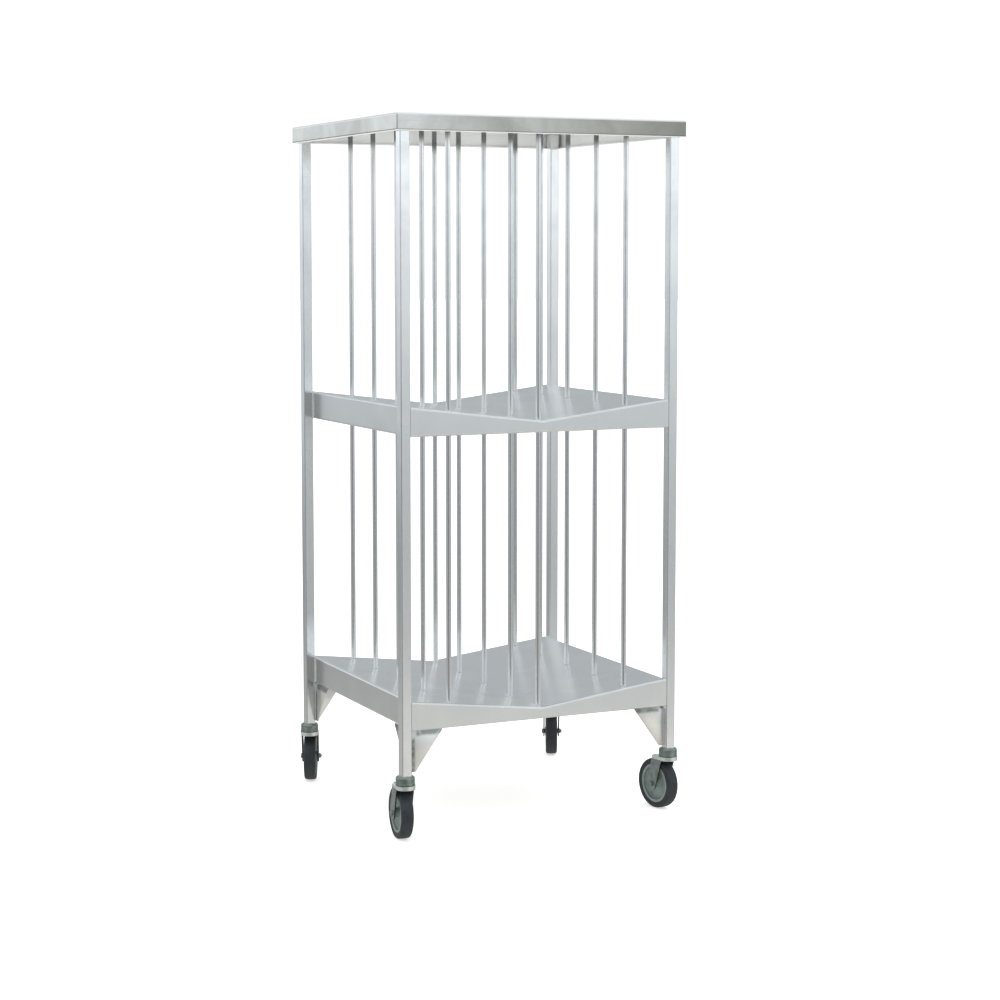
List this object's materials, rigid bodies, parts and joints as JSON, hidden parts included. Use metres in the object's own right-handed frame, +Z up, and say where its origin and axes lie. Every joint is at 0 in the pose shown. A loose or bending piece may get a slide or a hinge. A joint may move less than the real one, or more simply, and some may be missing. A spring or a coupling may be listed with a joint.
{
  "type": "mobile tray storage rack",
  "caption": "Tall open rack of square tube on swivel casters, with a folded top, V-bottomed shelves and upright divider rods that hold large trays on edge.",
  "frame": {"origin": "on the floor, midway between the four posts", "axes": "+Z up along the posts, front towards -Y, so that trays slide in along +Y; +X to the right seen from the front"},
  "size_m": [0.8025, 0.7818, 1.726],
  "materials": {
    "top_sheet": "mill sheet, folded, satin",
    "shelf_sheet": "mill sheet, folded, satin",
    "post_tube": "extruded square tube, satin",
    "rod_bar": "drawn round bar, bright",
    "gusset_plate": "cut and bent plate, satin",
    "socket_insert": "turned, plain",
    "caster_zinc": "zinc plated, dull",
    "fork_zinc": "pressed and zinc plated",
    "bearing_steel": "polished",
    "axle_steel": "zinc plated",
    "bushing_bronze": "sintered bronze",
    "wheel_core": "moulded, matte",
    "tyre_rubber": "moulded rubber, worn matte"
  },
  "bodies": {
    "rack": {"top_panel": "top_sheet", "middle_shelf": "shelf_sheet", "lower_shelf": "shelf_sheet", "divider_rod_left_1": "rod_bar", "divider_rod_left_2": "rod_bar", "divider_rod_left_3": "rod_bar", "divider_rod_left_4": "rod_bar", "divider_rod_left_5": "rod_bar", "divider_rod_centre_1": "rod_bar", "divider_rod_centre_2": "rod_bar", "divider_rod_centre_3": "rod_bar", "divider_rod_centre_4": "rod_bar", "divider_rod_centre_5": "rod_bar", "divider_rod_right_1": "rod_bar", "divider_rod_right_2": "rod_bar", "divider_rod_right_3": "rod_bar", "divider_rod_right_4": "rod_bar", "divider_rod_right_5": "rod_bar", "post_front_left": "post_tube", "post_front_right": "post_tube", "post_rear_left": "post_tube", "post_rear_right": "post_tube", "corner_gusset_front_left": "gusset_plate", "corner_gusset_front_right": "gusset_plate", "corner_gusset_rear_left": "gusset_plate", "corner_gusset_rear_right": "gusset_plate", "stem_socket_front_left": "socket_insert", "stem_socket_front_right": "socket_insert", "stem_socket_rear_left": "socket_insert", "stem_socket_rear_right": "socket_insert", "caster_stem_front_left": "caster_zinc", "caster_stem_front_right": "caster_zinc", "caster_stem_rear_left": "caster_zinc", "caster_stem_rear_right": "caster_zinc"},
    "swivel_front_left": {"caster_ball_ring_front_left": "bearing_steel", "caster_fork_front_left": "fork_zinc", "caster_axle_front_left": "axle_steel", "caster_bushing_front_left": "bushing_bronze"},
    "wheel_front_left": {"caster_wheel_core_front_left": "wheel_core", "caster_tyre_front_left": "tyre_rubber"},
    "swivel_front_right": {"caster_ball_ring_front_right": "bearing_steel", "caster_fork_front_right": "fork_zinc", "caster_axle_front_right": "axle_steel", "caster_bushing_front_right": "bushing_bronze"},
    "wheel_front_right": {"caster_wheel_core_front_right": "wheel_core", "caster_tyre_front_right": "tyre_rubber"},
    "swivel_rear_left": {"caster_ball_ring_rear_left": "bearing_steel", "caster_fork_rear_left": "fork_zinc", "caster_axle_rear_left": "axle_steel", "caster_bushing_rear_left": "bushing_bronze"},
    "wheel_rear_left": {"caster_wheel_core_rear_left": "wheel_core", "caster_tyre_rear_left": "tyre_rubber"},
    "swivel_rear_right": {"caster_ball_ring_rear_right": "bearing_steel", "caster_fork_rear_right": "fork_zinc", "caster_axle_rear_right": "axle_steel", "caster_bushing_rear_right": "bushing_bronze"},
    "wheel_rear_right": {"caster_wheel_core_rear_right": "wheel_core", "caster_tyre_rear_right": "tyre_rubber"}
  },
  "joints": [
    {"name": "swivel_front_left", "type": "hinge", "parent": "rack", "child": "swivel_front_left", "pos_m": [-0.3588, -0.3288, 0.139], "axis": [0, 0, 1], "continuous": true},
    {"name": "wheel_front_left_spin", "type": "hinge", "parent": "swivel_front_left", "child": "wheel_front_left", "pos_m": [-0.35417, -0.29108, 0.0635], "axis": [0.9925, -0.1219, 0], "continuous": true},
    {"name": "swivel_front_right", "type": "hinge", "parent": "rack", "child": "swivel_front_right", "pos_m": [0.3588, -0.3288, 0.139], "axis": [0, 0, 1], "continuous": true},
    {"name": "wheel_front_right_spin", "type": "hinge", "parent": "swivel_front_right", "child": "wheel_front_right", "pos_m": [0.3522, -0.29138, 0.0635], "axis": [0.9848, 0.1736, 0], "continuous": true},
    {"name": "swivel_rear_left", "type": "hinge", "parent": "rack", "child": "swivel_rear_left", "pos_m": [-0.3588, 0.3288, 0.139], "axis": [0, 0, 1], "continuous": true},
    {"name": "wheel_rear_left_spin", "type": "hinge", "parent": "swivel_rear_left", "child": "wheel_rear_left", "pos_m": [-0.34334, 0.36351, 0.0635], "axis": [0.9135, -0.4067, 0], "continuous": true},
    {"name": "swivel_rear_right", "type": "hinge", "parent": "rack", "child": "swivel_rear_right", "pos_m": [0.3588, 0.3288, 0.139], "axis": [0, 0, 1], "continuous": true},
    {"name": "wheel_rear_right_spin", "type": "hinge", "parent": "swivel_rear_right", "child": "wheel_rear_right", "pos_m": [0.37486, 0.36324, 0.0635], "axis": [0.9063, -0.4226, 0], "continuous": true}
  ]
}
